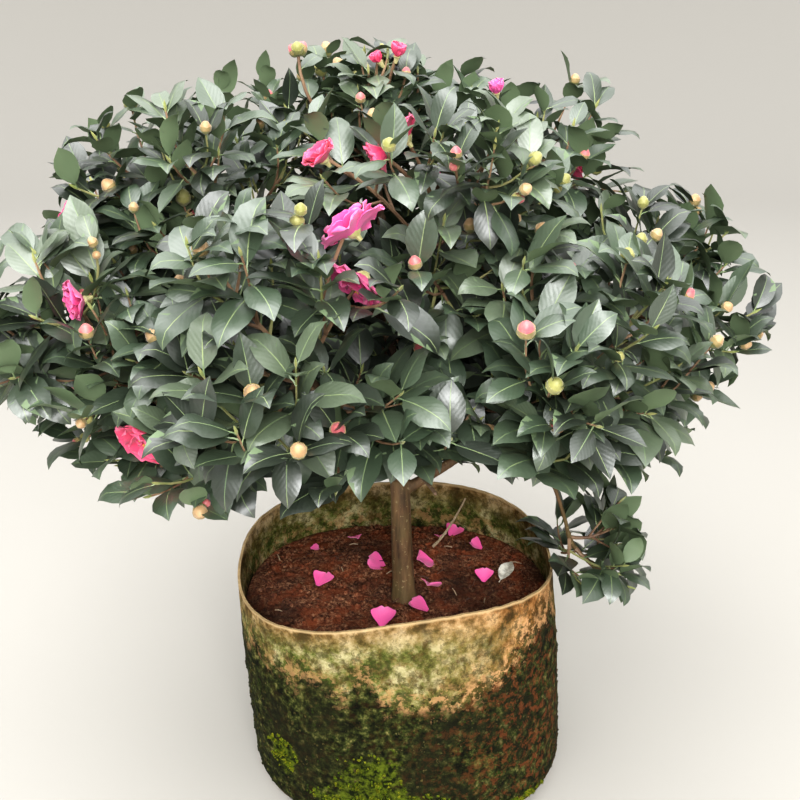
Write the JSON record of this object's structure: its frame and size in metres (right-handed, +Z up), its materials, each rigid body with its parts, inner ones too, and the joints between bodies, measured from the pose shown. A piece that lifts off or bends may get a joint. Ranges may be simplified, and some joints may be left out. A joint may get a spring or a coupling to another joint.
{
  "type": "potted camellia shrub",
  "caption": "Bushy evergreen camellia shrub with leathery leaves, buds and pink blooms on a short single trunk, growing in a soft round felt grow pot full of soil.",
  "frame": {"origin": "middle of the pot's flat underside, at the level it stands on", "axes": "+Z up along the plant, +X to the viewer's right, +Y to the back of the plant, -Y towards the viewer"},
  "size_m": [0.7814, 0.7118, 0.8288],
  "materials": {
    "felt": "matt felt, mossy and stained",
    "soil": "rough damp potting soil",
    "bark": "smooth olive-tan bark",
    "foliage": "satin leaves"
  },
  "bodies": {
    "root": {"bough_droop": "bark", "bough_high_1": "bark", "bough_high_2": "bark", "bough_high_3": "bark", "bough_high_4": "bark", "bough_low_1": "bark", "bough_low_2": "bark", "bough_low_3": "bark", "bough_low_4": "bark", "bough_low_5": "bark", "bough_low_6": "bark", "bough_low_7": "bark", "bough_mid_1": "bark", "bough_mid_2": "bark", "bough_mid_3": "bark", "bough_mid_4": "bark", "bough_mid_5": "bark", "bough_mid_6": "bark", "bough_mid_7": "bark", "foliage_droop": "foliage", "foliage_high_1": "foliage", "foliage_high_2": "foliage", "foliage_high_3": "foliage", "foliage_high_4": "foliage", "foliage_low_1": "foliage", "foliage_low_2": "foliage", "foliage_low_3": "foliage", "foliage_low_4": "foliage", "foliage_low_5": "foliage", "foliage_low_6": "foliage", "foliage_low_7": "foliage", "foliage_mid_1": "foliage", "foliage_mid_2": "foliage", "foliage_mid_3": "foliage", "foliage_mid_4": "foliage", "foliage_mid_5": "foliage", "foliage_mid_6": "foliage", "foliage_mid_7": "foliage", "foliage_top_1": "foliage", "pot": "felt", "soil": "soil", "trunk": "bark"}
  },
  "joints": []
}
